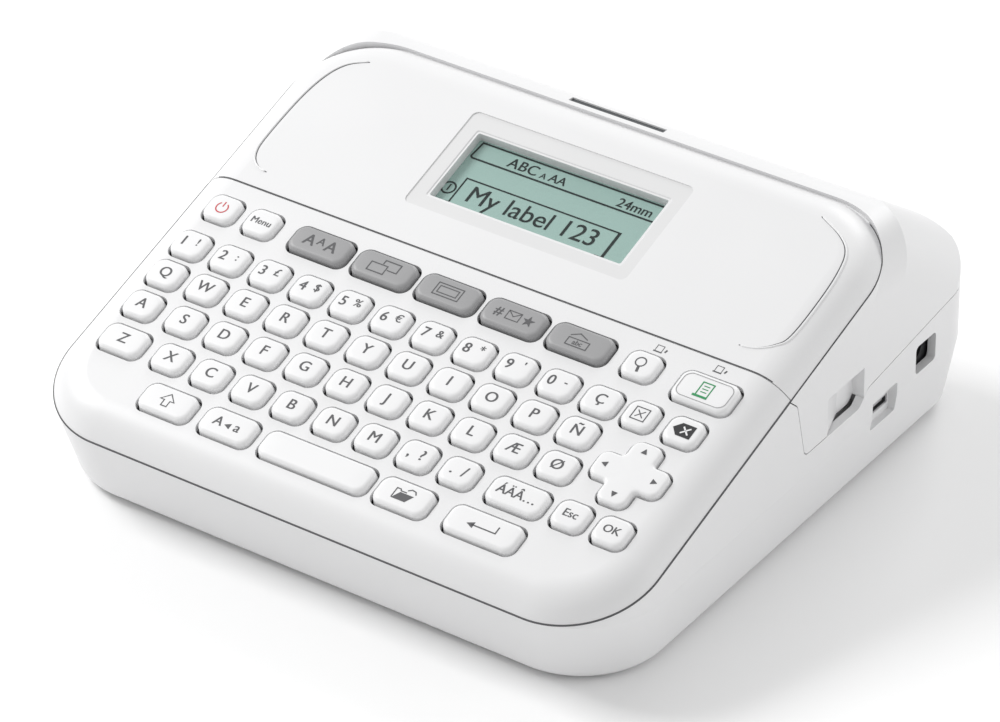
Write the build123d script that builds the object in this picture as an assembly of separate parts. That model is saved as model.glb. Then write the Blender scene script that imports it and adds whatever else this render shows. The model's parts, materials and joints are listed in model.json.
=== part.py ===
from build123d import *
import math
import os

# Desktop label maker.  Millimetres, +X to the user's right, +Y away from the user, +Z up.
# The origin is at the middle of the footprint, on the table.

# Driving dimensions of the housing
body_width = 188.0
body_depth = 178.0
front_height = 21.5        # seam between case and top cover, above the table at the front
panel_angle = 18.06        # slope of the keyboard panel
panel_length = 152.5       # seam outline, measured up the slope
corner_radius = 25.0       # seam outline corners
rear_corner_radius = 13.0  # vertical rear corners of the case
side_undercut = 2.8        # each side of the case draws in this much towards the table
front_undercut = 5.5       # and the front this much
wall = 2.5
cover_wall = 2.0
lid_wall = 2.2
seam_gap = 0.3
swing_gap = 0.15           # between the hood's lower edge and the case as it turns
foot_height = 1.0
crown = 6.2                # top covers above the seam plane
shoulder_taper = 38.0
shoulder_radius = 12.0
keyboard_end = 88.8        # seam between keyboard cover and display cover, up the slope
side_seam_height = 38.0    # lower edge of the rear lid at the back
lid_top = 70.6
lid_crest_end = 61.0
lid_slope = 35.8           # fall of the rear lid, degrees
lid_rear_radius = 17.0     # where the fall turns down into the rear wall
crest_radius, fall_radius = 14.0, 18.0     # side edges of the lid, along its crest and its fall

# Hood hinge, a pin along X in each of two notches of the rear wall
hinge_y, hinge_z = 86.0, 32.0
hinge_x, hinge_width = 42.0, 16.0
knuckle_radius, hinge_pin_radius = 2.6, 1.0

# Keys, placed on the panel as (across, up the slope)
key_pitch = 13.3
key_width, key_depth, key_corner = 11.0, 9.6, 2.8
key_top = 7.7              # key tops above the seam plane
key_flange_low, key_flange_high = 2.7, 3.7
key_draw = 0.7             # the key walls draw in by this much towards the top
key_gap = 0.4
key_flange = 0.6           # the flange stands out this far round a key
row_digits, row_q, row_a, row_z, row_bottom, row_function = 64.0, 52.6, 40.9, 28.6, 15.9, 78.3

# Display
screen_centre, screen_size = (0.3, 118.8), (61.6, 24.4)
bezel_centre, bezel_size, bezel_depth = (0.0, 119.4), (71.4, 35.8), 0.6

# Tape drive, all axles upright
gear_module = 0.5
backlash = 0.12
gear_low, gear_high = 8.5, 12.5
chassis_low, chassis_high = 6.0, 7.5
platen_centre, platen_radius, platen_teeth = (-64.0, 64.0), 4.6, 18
idler_teeth, spindle_teeth, pinion_teeth = 36, 44, 12
tape_line, tape_low, tape_high = 59.0, 14.5, 34.5
holder_pivot = (-80.0, 70.0)
axle_radius = 1.5
cutter_pivot, cutter_pin_span, cutter_pin_radius = (-90.8, 75.0), (10.8, 34.4), 0.8
running = 0.05             # radial clearance of a running fit

# Power
battery_radius, battery_length = 7.1, 50.5
battery_rows, battery_layers = (15.0, 30.4, 45.8), (12.6, 27.2)
jack_centre, usb_centre = (62.65, 26.65), (43.6, 20.0)

half_width = body_width / 2
front, rear = -body_depth / 2, body_depth / 2
slope = math.radians(panel_angle)
across = Vector(1, 0, 0)
panel_normal = Vector(0, -math.sin(slope), math.cos(slope))
panel = Plane(origin=(0, front, front_height), x_dir=across, z_dir=panel_normal)
floor_top = foot_height + wall


# ---------------------------------------------------------------- building blocks
def slab(x0, x1, y0, y1, z0, z1):
    """A block between two opposite corners."""
    return Pos((x0 + x1) / 2, (y0 + y1) / 2, (z0 + z1) / 2) * Box(x1 - x0, y1 - y0, z1 - z0)


def post(x, y, z0, z1, radius):
    """An upright round post."""
    return Pos(x, y, (z0 + z1) / 2) * Cylinder(radius, z1 - z0)


def rod_x(x0, x1, y, z, radius):
    """A round bar lying along X."""
    return Pos((x0 + x1) / 2, y, z) * Rot(0, 90, 0) * Cylinder(radius, x1 - x0)


def on_panel(u, v, low, high, shape, taper=0):
    """A flat shape centred at (u, v) on the panel and raised from height low to high."""
    return extrude(panel.offset(low) * Pos(u, v) * shape, amount=high - low, taper=taper)


def panel_band(v0, v1, low, high):
    """Everything on the panel between two distances up the slope."""
    return on_panel(0, (v0 + v1) / 2, low, high, Rectangle(body_width + 40, v1 - v0))


def seam_outline(inset):
    """The rounded outline that the top covers share with the case."""
    return RectangleRounded(body_width - 2 * inset, panel_length - 2 * inset, corner_radius - inset)


def panel_block(inset, low, high):
    """The seam outline, drawn in by inset, raised square to the panel."""
    return on_panel(0, panel_length / 2, low, high, seam_outline(inset))


def above_seam(height):
    """All the space above the seam plane, from the given height over it."""
    return panel_band(-60, panel_length + 120, height, height + 160)


def pillow(inset, height):
    """The crowned block of the top covers, with soft shoulders all round."""
    block = on_panel(0, panel_length / 2, 0, height, seam_outline(inset), taper=shoulder_taper)
    top = block.faces().sort_by(Axis(panel.origin, panel.z_dir))[-1]
    return fillet(top.edges(), shoulder_radius * (height / crown) ** 1.5)


def plan_outline(inset, side, nose):
    """The case seen from above, with its sides drawn in by side and its front by nose."""
    x, y0, y1 = half_width - inset - side, front + inset + nose, rear - inset - side
    r0, r1 = corner_radius - inset, rear_corner_radius - inset
    k = 1 - math.sqrt(0.5)
    outline = [
        Line((-x + r0, y0), (x - r0, y0)),
        ThreePointArc((x - r0, y0), (x - k * r0, y0 + k * r0), (x, y0 + r0)),
        Line((x, y0 + r0), (x, y1 - r1)),
        ThreePointArc((x, y1 - r1), (x - k * r1, y1 - k * r1), (x - r1, y1)),
        Line((x - r1, y1), (-x + r1, y1)),
        ThreePointArc((-x + r1, y1), (-x + k * r1, y1 - k * r1), (-x, y1 - r1)),
        Line((-x, y1 - r1), (-x, y0 + r0)),
        ThreePointArc((-x, y0 + r0), (-x + k * r0, y0 + k * r0), (-x + r0, y0)),
    ]
    return make_face(Curve() + outline)


def hull(inset, bottom):
    """The case as a solid block: a drafted lower part with straight walls above it."""
    low = Plane.XY.offset(bottom) * plan_outline(inset, side_undercut, front_undercut)
    mid = Plane.XY.offset(front_height) * plan_outline(inset, 0, 0)
    lower = loft([low, mid])
    base = lower.faces().sort_by(Axis.Z)[0]
    return fillet(base.edges(), 4.0) + extrude(mid, amount=lid_top)


def hood_block(gap):
    """Everything above the line where the hood parts from the case, lowered by gap."""
    line = FilletPolyline(
        (-5.2, 49.1), (-1.4, 45.6), (2.6, 28.0), (29.2, 28.0), (33.6, 32.0), (78.0, side_seam_height),
        (rear + 6, side_seam_height), radius=2.2)
    back = Line((rear + 6, side_seam_height), (rear + 6, 110))
    top = Polyline((rear + 6, 110), (-24, 110), (-5.2, 49.1))
    block = extrude(Plane.YZ * make_face(Curve() + [line, back, top]), amount=half_width + 5, both=True)
    return Pos(0, -gap / 2, -gap) * block


def rear_body(inset):
    """The hump behind the display: its side profile, its plan, and its rounded edges along the
    level crest and along the fall."""
    fall = math.radians(lid_slope)
    low_corner = lid_top - (rear - lid_crest_end) * math.tan(fall)
    corners = [(20, 5), (20, lid_top), (lid_crest_end, lid_top), (rear, low_corner), (rear, 5)]
    profile = FilletPolyline(*corners, radius=[9.0, 9.0, 12.0, lid_rear_radius, 9.0], close=True)
    side = offset(make_face(profile), -inset) if inset else make_face(profile)
    along = extrude(Plane.YZ * side, amount=half_width + 5, both=True)
    above = extrude(plan_outline(inset, 0, 0), amount=lid_top + 10)
    x = half_width - inset

    def rear_view(high, low, radius):
        corners = [(-x, low), (-x, high), (x, high), (x, low)]
        return make_face(FilletPolyline(*corners, radius=radius - inset, close=True))

    crest = extrude(Plane.XZ * rear_view(lid_top - inset, -30, crest_radius), amount=-rear - 5)
    fall_start = Plane(origin=(0, lid_crest_end, lid_top), x_dir=across,
                       z_dir=Vector(0, -math.cos(fall), math.sin(fall)))
    along_fall = extrude(fall_start * rear_view(0.05 - inset, -120, fall_radius), amount=80, both=True)
    return along & above & crest & along_fall


# ---------------------------------------------------------------- keys
def key_row(v, first, count):
    """Centres of a row of letter keys, a pitch apart."""
    return [(first + i * key_pitch, v, key_width, key_depth) for i in range(count)]


single_keys = {
    "power_key": (-79.4, row_function, 10.6, key_depth),
    "menu_key": (-66.2, row_function, 10.6, key_depth),
    "font_key": (-46.4, row_function, 19.2, key_depth),
    "size_key": (-25.5, row_function, 19.2, key_depth),
    "frame_key": (-4.6, row_function, 19.2, key_depth),
    "symbol_key": (16.3, row_function, 19.2, key_depth),
    "label_key": (37.2, row_function, 19.2, key_depth),
    "search_key": (56.2, row_function, 10.6, key_depth),
    "print_key": (76.2, 77.6, 18.0, 10.8),
    "insert_key": (65.1, row_digits, 10.0, key_depth),
    "backspace_key": (78.2, row_digits, 10.8, key_depth),
    "accent_key": (50.5, row_z - 0.3, 17.6, key_depth),
    "escape_key": (66.6, row_z + 0.2, 10.4, key_depth),
    "ok_key": (79.0, row_z + 0.2, 10.4, key_depth),
    "shift_key": (-52.6, row_bottom, 17.0, key_depth),
    "caps_key": (-32.7, row_bottom, 17.0, key_depth),
    "space_key": (-4.2, row_bottom, 35.0, key_depth),
    "recall_key": (23.5, row_bottom, 17.0, key_depth),
    "enter_key": (48.2, row_bottom, 22.5, key_depth),
}
key_rows = {
    "digit_keys": key_row(row_digits, -80.0, 11),
    "upper_letter_keys": key_row(row_q, -80.0, 11),
    "middle_letter_keys": [(-79.4, row_a, key_width, key_depth)] + key_row(row_a, -65.2, 10),
    "lower_letter_keys": [(-76.7, row_z, 14.4, key_depth)] + key_row(row_z, -60.8, 8),
}
cursor_centre, cursor_reach, cursor_arm = (73.0, 46.4), 10.8, 9.4


def all_keys():
    return list(single_keys.values()) + [spot for row in key_rows.values() for spot in row]


def key_shape(width, depth, grow=0.0):
    return RectangleRounded(width + 2 * grow, depth + 2 * grow, key_corner + grow)


def cursor_shape(grow=0.0):
    """The four-way key's cross, with rounded arms."""
    long, short = 2 * cursor_reach, cursor_arm
    return key_shape(long, short, grow) + key_shape(short, long, grow)


def plain_key(u, v, width, depth):
    """One key: drafted cap, rounded top edge and a flange that keeps it under the cover."""
    low = panel.offset(key_flange_high) * Pos(u, v) * key_shape(width, depth)
    high = panel.offset(key_top) * Pos(u, v) * key_shape(width, depth, -key_draw)
    cap = loft([low, high])
    top = cap.faces().sort_by(Axis(panel.origin, panel.z_dir))[-1]
    cap = fillet(top.edges(), 0.8)
    flange = on_panel(u, v, key_flange_low, key_flange_high, key_shape(width, depth, key_flange))
    return cap + flange


def key_openings():
    """Openings in the keyboard cover, square to the panel, each with a well for the key's flange."""
    well_height, well_grow = key_flange_high + 0.3, key_flange + 0.35
    cuts = []
    for u, v, width, depth in all_keys():
        cuts.append(on_panel(u, v, 0, crown + 6, key_shape(width, depth, key_gap)))
        cuts.append(on_panel(u, v, 0, well_height, key_shape(width, depth, well_grow)))
    cuts.append(on_panel(*cursor_centre, 0, crown + 6, cursor_shape(key_gap)))
    cuts.append(on_panel(*cursor_centre, 0, well_height, cursor_shape(well_grow)))
    return cuts


def cursor_key():
    """The four-way key: two crossed bars with rounded ends."""
    long, short = 2 * cursor_reach, cursor_arm
    return plain_key(*cursor_centre, long, short) + plain_key(*cursor_centre, short, long)


# ---------------------------------------------------------------- case and covers
screw_spots = [(-80, -72), (80, -72), (-81, 14), (12, 14), (-66, 78), (12, 78)]
front_screws = screw_spots[:2]
screw_radius, screw_head_radius = 1.3, 2.6


def side_ports():
    """Cuts in the right wall for the charger jack and the data socket with its plug recess."""
    jack_y, jack_z = jack_centre
    usb_y, usb_z = usb_centre
    jack = Plane.YZ.offset(86) * Pos(jack_y, jack_z) * RectangleRounded(10.1, 8.7, 1.4)
    recess = Plane.YZ.offset(91.3) * Pos(42.2, 20.9) * RectangleRounded(12.3, 9.2, 0.8)
    slot = Plane.YZ.offset(85) * Pos(usb_y, usb_z) * RectangleRounded(8.2, 2.9, 0.2)
    return extrude(jack, amount=12) + extrude(recess, amount=5) + extrude(slot, amount=12)


def bottom_case():
    shell = hull(0, foot_height) - hull(wall, floor_top)
    shell -= above_seam(0)
    shell -= hood_block(seam_gap)
    inside = hull(wall - 0.1, floor_top) - above_seam(0)
    bulkhead = slab(-95, 95, -8.6, -6.8, floor_top - 0.2, 60) & inside
    port_pad = slab(88.4, 92.5, 33.5, 51.0, 13.0, 28.5)
    shell += bulkhead
    shell += port_pad & hull(0.5, floor_top)
    for side in (-1, 1):
        x = side * hinge_x
        shell += slab(x - 12, x + 12, 82.0, rear - 0.4, 25.5, side_seam_height - 0.3)
    for x, y in screw_spots:
        top = 12.0 if (x, y) in front_screws else chassis_low
        shell += post(x, y, foot_height + 0.5, top, 3.6)
    for side in (-1, 1):
        x0, x1 = side * hinge_x - hinge_width / 2, side * hinge_x + hinge_width / 2
        shell -= slab(x0, x1, 80.0, rear + 4, 28.8, side_seam_height + 4)
        shell -= rod_x(x0 - 3.0, x1 + 3.0, hinge_y, hinge_z, hinge_pin_radius)
    rim = slab(-95, 95, hinge_y + 0.2, rear + 1, side_seam_height - 2.0, side_seam_height + 1)
    shell -= rim - rod_x(-96, 96, hinge_y, hinge_z, side_seam_height - hinge_z - swing_gap)
    for x, y in screw_spots:
        shell -= post(x, y, 0, 14, screw_radius + 0.2)
        shell -= post(x, y, 0, foot_height + 1.6, screw_head_radius + 0.3)
    for x in (-66, 66):
        for y in (-66, -18):
            shell += post(x, y, floor_top - 0.1, 8.0, 2.6)
    shell -= side_ports()
    shell -= slab(-97, -88, tape_line - 2.2, tape_line + 2.2, 12.6, 33.6)
    shell -= slab(-97, -88, 62.8, 77.4, 12.8, 32.2)
    for low, high in ((10.6, 12.8), (32.2, 34.4)):
        shell += slab(-92, -88.4, 73.2, 77.2, low, high)
    shell -= post(*cutter_pivot, *cutter_pin_span, cutter_pin_radius)
    return shell


def cover_shell():
    return pillow(0, crown) - Pos(panel_normal * -0.01) * pillow(cover_wall, crown - cover_wall)


def keyboard_cover():
    cover = cover_shell() & panel_band(-10, keyboard_end - seam_gap / 2, -1, 12)
    for x, y in front_screws:
        pillar = post(x, y, 12.0, 60, 3.2) - above_seam(crown - 1)
        cover += pillar
        cover -= post(x, y, 10, 20, screw_radius)
    for cut in key_openings():
        cover -= cut
    return cover


def display_cover():
    cover = cover_shell() & panel_band(keyboard_end + seam_gap / 2, panel_length + 5, -1, 12)
    cover -= on_panel(*bezel_centre, crown - bezel_depth, crown + 2, RectangleRounded(*bezel_size, 2.0))
    return cover - on_panel(*screen_centre, 0, crown, RectangleRounded(*screen_size, 0.6))


def lid_hinge_arm(side):
    """An arm that hangs from the lid's rear wall into its notch and turns on the hinge pin."""
    x0, x1 = side * hinge_x - hinge_width / 2 + 0.4, side * hinge_x + hinge_width / 2 - 0.4
    arm = slab(x0, x1, hinge_y - 1.8, rear - 0.3, hinge_z, side_seam_height + 3)
    return arm + rod_x(x0, x1, hinge_y, hinge_z, knuckle_radius)


notch_y, notch_z = (13.4, 31.3), (26.0, 39.4)
notch_depth, notch_ramp = 3.6, 10.0     # the notch deepens along this length from the front


def finger_notch():
    """The space of the right-hand notch, which ramps in from the front to a square rear wall."""
    x = half_width - notch_depth
    outline = Polyline(
        (half_width + 3, notch_y[0]), (half_width - 0.2, notch_y[0]), (x, notch_y[0] + notch_ramp),
        (x, notch_y[1]), (half_width + 3, notch_y[1]), close=True)
    return Pos(0, 0, notch_z[0]) * extrude(make_face(outline), amount=notch_z[1] - notch_z[0])


slot_x, slot_y = (-17.4, 13.4), (57.3, 59.5)


def rear_lid():
    """The white rear part of the hood with its two forward ears, one moulding."""
    gap = seam_gap / 2
    ears = panel_block(0, -80, -gap) & slab(-95, 95, -10, 47.5, 0, 80)
    outer = (ears + (rear_body(0) - panel_block(-gap, -gap, 40))) & hull(0, foot_height)
    inner = panel_block(lid_wall, -90, 60) + (rear_body(lid_wall) - panel_block(-lid_wall, -lid_wall, 60))
    lid = outer - inner
    for side in (-1, 1):
        x0, x1 = half_width - 6.4, half_width - lid_wall + 0.1
        pad = slab(x0, x1, notch_y[0] - 1.5, 32.6, 20, notch_z[1] + 1.6)
        lid += pad if side > 0 else mirror(pad, Plane.YZ)
    lid &= hood_block(0)
    for side in (-1, 1):
        notch = finger_notch()
        lid -= notch if side > 0 else mirror(notch, Plane.YZ)
        lid += lid_hinge_arm(side)
        lid -= rod_x(side * hinge_x - 10, side * hinge_x + 10, hinge_y, hinge_z, hinge_pin_radius + running)
    return lid - slab(*slot_x, *slot_y, lid_top - 5, lid_top + 2)


def tape_window():
    return slab(slot_x[0], slot_x[1], slot_y[0], slot_y[1], lid_top - lid_wall, lid_top - 0.7)


def hood_lining():
    """The inner panel that closes the hood from below."""
    plate = on_panel(0, (91 + 149) / 2, -3.2, -1.4, RectangleRounded(180, 58, 20))
    rim = RectangleRounded(92, 50, 4) - RectangleRounded(88, 46, 3)
    return plate + on_panel(0, 120, -1.4, 2.0, rim)


def hinge_pins():
    reach = hinge_width / 2 + 3.0
    spots = (-hinge_x, hinge_x)
    return Compound(children=[
        rod_x(x - reach, x + reach, hinge_y, hinge_z, hinge_pin_radius) for x in spots])


def rubber_feet():
    spots = [(x, y) for x in (-76, 76) for y in (-66, 72)]
    feet = []
    for x, y in spots:
        foot = post(x, y, 0, foot_height, 5.5)
        feet.append(chamfer(foot.edges().group_by(Axis.Z)[0], 0.4))
    return Compound(children=feet)


def case_screws():
    screws = []
    for x, y in screw_spots:
        tip = 18.0 if (x, y) in front_screws else chassis_high + 0.6
        head = post(x, y, foot_height + 0.2, foot_height + 1.6, screw_head_radius)
        cross = slab(x - 1.3, x + 1.3, y - 0.3, y + 0.3, 0, foot_height + 0.9)
        cross += slab(x - 0.3, x + 0.3, y - 1.3, y + 1.3, 0, foot_height + 0.9)
        screws.append(head + post(x, y, foot_height + 1.0, tip, screw_radius) - cross)
    return Compound(children=screws)


# ---------------------------------------------------------------- display parts
def screen_window():
    return on_panel(*screen_centre, crown - cover_wall - 1.2, crown - cover_wall - 0.02, Rectangle(65, 28))


def lcd_panel():
    return on_panel(*screen_centre, 0.8, 2.9, Rectangle(66, 30))


def lcd_board():
    board = on_panel(0.3, 120, -0.9, 0.7, Rectangle(84, 42))
    return board - on_panel(-38.5, 138, -2, 2, Circle(1.2)) - on_panel(38.5, 138, -2, 2, Circle(1.2))


# ---------------------------------------------------------------- keyboard parts
def rubber_keypad():
    """A silicone sheet with a dome under every key."""
    sheet = on_panel(-1.0, 46.6, -0.6, 0.2, RectangleRounded(168, 74, 4))
    u0, v0 = cursor_centre
    spots = [(u, v) for u, v, width, depth in all_keys()]
    spots += [(u0 + 7, v0), (u0 - 7, v0), (u0, v0 + 7), (u0, v0 - 7)]
    for u, v in spots:
        sheet += on_panel(u, v, 0.1, 1.2, Circle(2.6), taper=15)
    for x, y in front_screws:
        sheet -= post(x, y, 5, 60, 3.7)
    return sheet


def keypad_board():
    board = on_panel(-1.0, 46.6, -2.3, -0.7, RectangleRounded(168, 74, 2))
    for x, y in front_screws:
        board -= post(x, y, 5, 60, 3.7)
    return board


def main_board():
    """The logic board, with its packages and connectors soldered on."""
    board = slab(-72, 72, -70, -14, 8.0, 9.6)
    board += slab(-18, -4, -48, -34, 9.6, 11.2) + slab(10, 22, -46, -34, 9.6, 10.8)
    board += slab(-60, -46, -24, -19, 9.6, 14.5) + slab(38, 60, -24, -19, 9.6, 15.5)
    for i in range(4):
        board += post(40 + i * 7.5, -54, 9.6, 16.0, 2.8)
    for i in range(6):
        board += slab(-60 + i * 6, -57 + i * 6, -60, -58.4, 9.6, 10.4)
    return board


# ---------------------------------------------------------------- power parts
def dc_jack():
    y, z = jack_centre
    body = slab(80.5, 90.8, y - 5.6, y + 5.6, 18.6, z + 4.8)
    body -= rod_x(82.5, 92, y, z, 2.9)
    return body + rod_x(82, 90, y, z, 0.9)


def usb_socket():
    y, z = usb_centre
    shell = slab(84.0, 91.2, y - 3.9, y + 3.9, 18.65, z + 1.3)
    shell -= slab(85.0, 92, y - 3.5, y + 3.5, 19.0, z + 0.95)
    return shell + slab(84.8, 90.6, y - 2.6, y + 2.6, 19.7, 20.2)


def jack_board():
    return slab(80.5, 88.2, 35.0, 70.0, 17.0, 18.6)


def battery_cell(y, z, direction):
    """One round cell lying along X, its button towards +X or -X."""
    body_end = battery_length / 2 - 1.5
    can = rod_x(-battery_length / 2, body_end, y, z, battery_radius)
    button = rod_x(body_end - 0.2, battery_length / 2, y, z, 2.7)
    cell = can + button
    if direction < 0:
        cell = mirror(cell, Plane.YZ)
    return Pos(50.0, 0, 0) * cell


def batteries():
    cells = []
    for layer, z in enumerate(battery_layers):
        for i, y in enumerate(battery_rows):
            cells.append(battery_cell(y, z, 1 if (i + layer) % 2 else -1))
    return Compound(children=cells)


def battery_contacts():
    plates = []
    for z in battery_layers:
        for y in battery_rows:
            for x, side in ((23.4, 1), (76.6, -1)):
                plate = slab(x - 0.3, x + 0.3, y - 5.5, y + 5.5, z - 5.5, z + 5.5)
                plates.append(plate + rod_x(min(x, x + side * 1.1), max(x, x + side * 1.1), y, z, 2.4))
    return Compound(children=plates)


def bay_tray():
    """The inner tray: a deck with the battery bay sunk into it and a raised box over the sockets."""
    deck = slab(-89.2, 89.2, -6.6, 81.6, 24.2, 26.0)
    tray = deck - slab(-91, 18.0, 7.0, 90, 20, 30) - slab(18.0, 78.0, 60.0, 90, 20, 30)
    tray += slab(20.6, 79.4, 5.6, 55.4, 3.9, 26.0)
    tray -= slab(22.2, 77.8, 7.2, 53.8, 5.2, 30)
    tray += slab(-86, 20.6, 5.6, 7.0, 8.0, 26.0)
    tray += slab(78.2, 89.2, 34.2, 72.0, 24.2, 33.6)
    tray -= slab(79.8, 89.3, 35.6, 70.6, 20, 32.2) + slab(88.2, 95, 33.2, 51.3, 12, 40)
    return tray & hull(wall + 0.2, floor_top)


# ---------------------------------------------------------------- tape drive
def meshed(centre, teeth_a, teeth_b, angle):
    """Centre of a gear that meshes with another one, in the given direction from it."""
    distance = gear_module * (teeth_a + teeth_b) / 2 + backlash
    turn = math.radians(angle)
    return centre[0] + distance * math.cos(turn), centre[1] + distance * math.sin(turn)


to_idler, to_spindle, to_pinion = -30.0, -60.0, 60.0
idler_centre = meshed(platen_centre, platen_teeth, idler_teeth, to_idler)
spindle_centre = meshed(idler_centre, idler_teeth, spindle_teeth, to_spindle)
pinion_centre = meshed(idler_centre, idler_teeth, pinion_teeth, to_pinion)


def gear_phase(teeth, direction_from_idler):
    """Angle of a tooth that sits in mesh with the idler, whose own first tooth is at zero."""
    lag = direction_from_idler % (360 / idler_teeth)
    return direction_from_idler + 180 + lag * idler_teeth / teeth + 180 / teeth


def gear(centre, teeth, phase, bore, low=gear_low, high=gear_high):
    """A spur gear with straight-sided teeth."""
    radius = gear_module * teeth / 2
    root, tip = radius - 0.62, radius + 0.42
    half_root, half_tip = 0.5, 0.19
    foot = root - 0.3
    tooth = make_face(
        Polyline((foot, -half_root), (tip, -half_tip), (tip, half_tip), (foot, half_root), close=True))
    outline = Circle(root)
    for i in range(teeth):
        outline += Rot(0, 0, phase + i * 360 / teeth) * tooth
    outline -= Circle(bore)
    return Pos(*centre, low) * extrude(outline, amount=high - low)


def idler_gear():
    return gear(idler_centre, idler_teeth, 0, axle_radius + running)


def motor_pinion():
    return gear(pinion_centre, pinion_teeth, gear_phase(pinion_teeth, to_pinion), 1.0)


def platen_roller():
    """Rubber roller on its steel shaft, with the drive gear pressed on below."""
    shaft = post(*platen_centre, gear_low, 37.2, 1.2)
    rubber = post(*platen_centre, tape_low + 0.5, tape_high - 0.5, platen_radius)
    return shaft + rubber


def platen_gear():
    return gear(platen_centre, platen_teeth, gear_phase(platen_teeth, to_idler + 180), 1.2)


def ribbon_spindle():
    """Splined spindle that winds the cassette's used ribbon, on its own gear."""
    wheel = gear(spindle_centre, spindle_teeth, gear_phase(spindle_teeth, to_spindle), axle_radius + running)
    stem = post(*spindle_centre, gear_high - 0.1, 31.0, 2.6) - post(*spindle_centre, 8, 29.5, axle_radius + running)
    for i in range(6):
        rib = Pos(2.7, 0, 22.5) * Box(1.2, 0.7, 15)
        stem += Pos(*spindle_centre, 0) * Rot(0, 0, i * 60) * rib
    return wheel + stem


def roller_holder():
    """The frame that carries the platen roller and swings it off the print head."""
    px, py = holder_pivot
    flange = slab(px, platen_centre[0] + 4.5, platen_centre[1] - 0.6, py + 1.2, 0, 1.4)
    flange += post(*platen_centre, 0, 1.4, 3.2)
    frame = Pos(0, 0, 12.9) * flange + Pos(0, 0, 35.2) * flange
    frame += slab(px, platen_centre[0] + 4.5, py + 0.2, py + 1.6, 12.9, 36.6)
    frame += post(px, py, 12.9, 36.6, 3.0)
    frame -= post(px, py, 5, 40, axle_radius + running)
    return frame - post(*platen_centre, 5, 40, 1.2 + running)


def print_chassis():
    """The steel plate that carries the axles, the motor bridge and the print head."""
    plate = slab(-86, 17, 9.5, 84, chassis_low, chassis_high) & hull(wall + 0.5, floor_top)
    plate -= post(-20, 30, 5, 9, 9) + post(-20, 62, 5, 9, 9) + slab(-78, -66, 16, 44, 5, 9)
    plate += post(*idler_centre, chassis_low, 13.0, axle_radius)
    plate += post(*spindle_centre, chassis_low, 29.0, axle_radius)
    plate += post(*holder_pivot, chassis_low, 37.4, axle_radius)
    bridge = slab(-56, -36, 60, 79, 13.0, 14.1) - post(*pinion_centre, 12, 15, 3.2)
    for x, y in ((-54.6, 77.4), (-37.4, 77.4), (-37.4, 61.4)):
        bridge += post(x, y, chassis_low, 13.1, 1.3)
    plate += bridge
    for x, y in screw_spots[2:]:
        plate -= post(x, y, 5, 9, screw_radius)
    return plate


def feed_motor():
    can = fillet(post(*pinion_centre, 14.1, 31.0, 8.6).edges().group_by(Axis.Z)[-1], 0.8)
    return can + post(*pinion_centre, 13.0, 14.2, 2.6) + post(*pinion_centre, gear_low, 13.1, 1.0)


def print_head():
    return slab(-67.6, -62.4, 57.4, tape_line, tape_low - 0.4, tape_high + 0.4)


def head_heatsink():
    """Folded aluminium plate behind the print head."""
    plate = slab(-69.4, -62.3, 55.2, 57.4, chassis_high, 36.0)
    for i in range(4):
        plate += slab(-69.4, -62.3, 53.4, 55.3, 20 + i * 4, 21.2 + i * 4)
    return plate


def tape_cassette():
    """The drop-in tape cassette, notched at one corner for the print head."""
    body = slab(-71, 15, 10.2, 56.6, tape_low, tape_high)
    body = fillet(body.edges().filter_by(Axis.Z), 3.0)
    body -= slab(-75, -57.5, 47.0, 60, 10, 40)
    body -= post(*spindle_centre, 10, 33.5, 3.9)
    label = slab(-38, 8, 16, 50, tape_high - 0.6, tape_high + 1)
    window = slab(-54, -42, 20, 30, tape_high - 1.0, tape_high + 1)
    ribs = [slab(-66 + i * 2.2, -65 + i * 2.2, 16, 40, tape_high - 0.1, tape_high + 0.5) for i in range(4)]
    body -= label + window
    for rib in ribs:
        body += rib
    return body


def cutter_lever():
    """The finger plate that is pressed inwards to cut the tape."""
    plate = slab(-93.6, -91.4, 63.4, 76.2, 13.6, 31.4)
    plate = fillet(plate.edges().filter_by(Axis.Y), 0.7) & hull(0.4, foot_height)
    barrel = post(*cutter_pivot, 13.6, 31.4, 2.1)
    return plate + barrel - post(*cutter_pivot, 10, 40, cutter_pin_radius + running)


def cutter_blade():
    blade = slab(-88.0, -87.4, 60.4, 65.4, 13.4, 33.0)
    carrier = slab(-87.4, -84.4, 62.6, 65.4, 13.4, 33.0)
    return blade + carrier


def fixed_blade():
    """The anvil blade across the tape path, on its bracket."""
    blade = slab(-87.2, -86.6, 52.0, tape_line - 0.7, chassis_high, 34.0)
    bracket = slab(-89.9, -84.0, 50.4, 52.1, chassis_high, 34.0) & hull(wall + 0.1, floor_top)
    return blade + bracket


def cutter_pin():
    return post(*cutter_pivot, *cutter_pin_span, cutter_pin_radius)


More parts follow.
